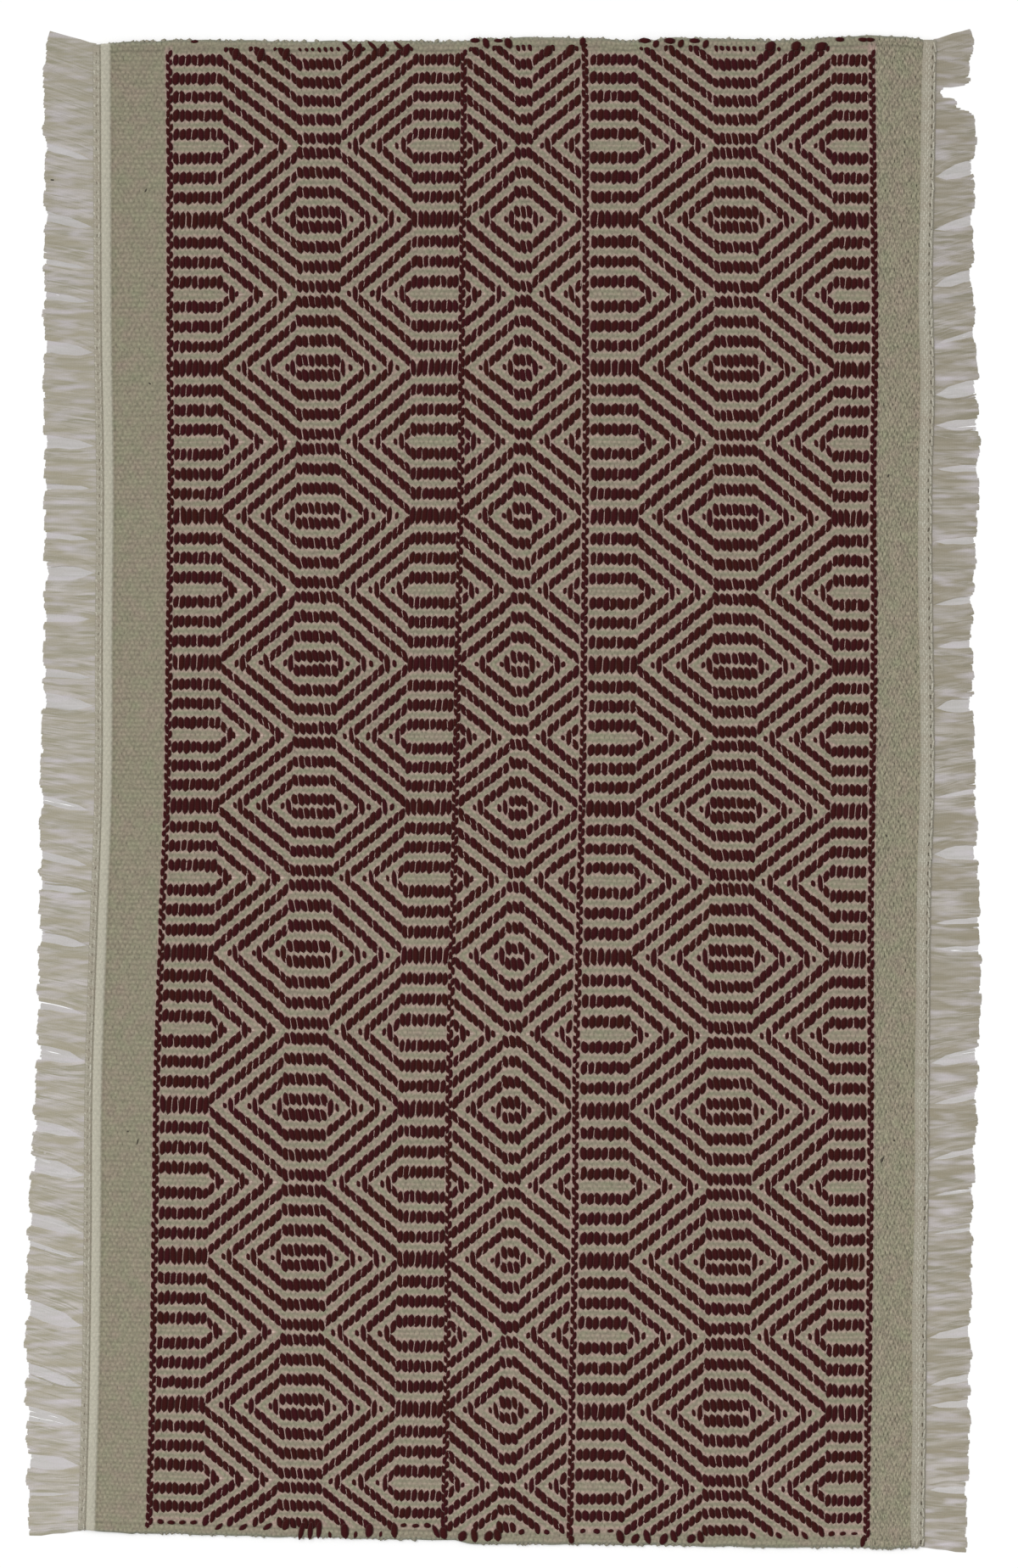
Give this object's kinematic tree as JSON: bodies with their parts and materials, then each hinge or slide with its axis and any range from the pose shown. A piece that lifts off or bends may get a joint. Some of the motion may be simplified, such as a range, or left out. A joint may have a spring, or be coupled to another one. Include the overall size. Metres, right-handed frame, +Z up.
{
  "type": "kilim rug",
  "caption": "Flat-woven cotton rug with a stepped zigzag pattern in dark red on greige, four beaded lines and a loose fringe along both long sides.",
  "frame": {"origin": "on the floor under the middle of the whole rug, fringes included", "axes": "+Z up out of the face, +Y along the rug's length, +X across it towards the side with the chain-stitched heading"},
  "size_m": [0.5748, 0.9134, 0.004],
  "materials": {
    "cloth": "matte cotton flatweave, greige ground with dark red pattern weft",
    "fringe": "matte undyed cotton warp ends and pale sewn heading",
    "pattern_weft": "matte dark red cotton weft"
  },
  "bodies": {
    "root": {"rug_cloth": "cloth", "fringe_left": "fringe", "fringe_right": "fringe"}
  },
  "joints": []
}
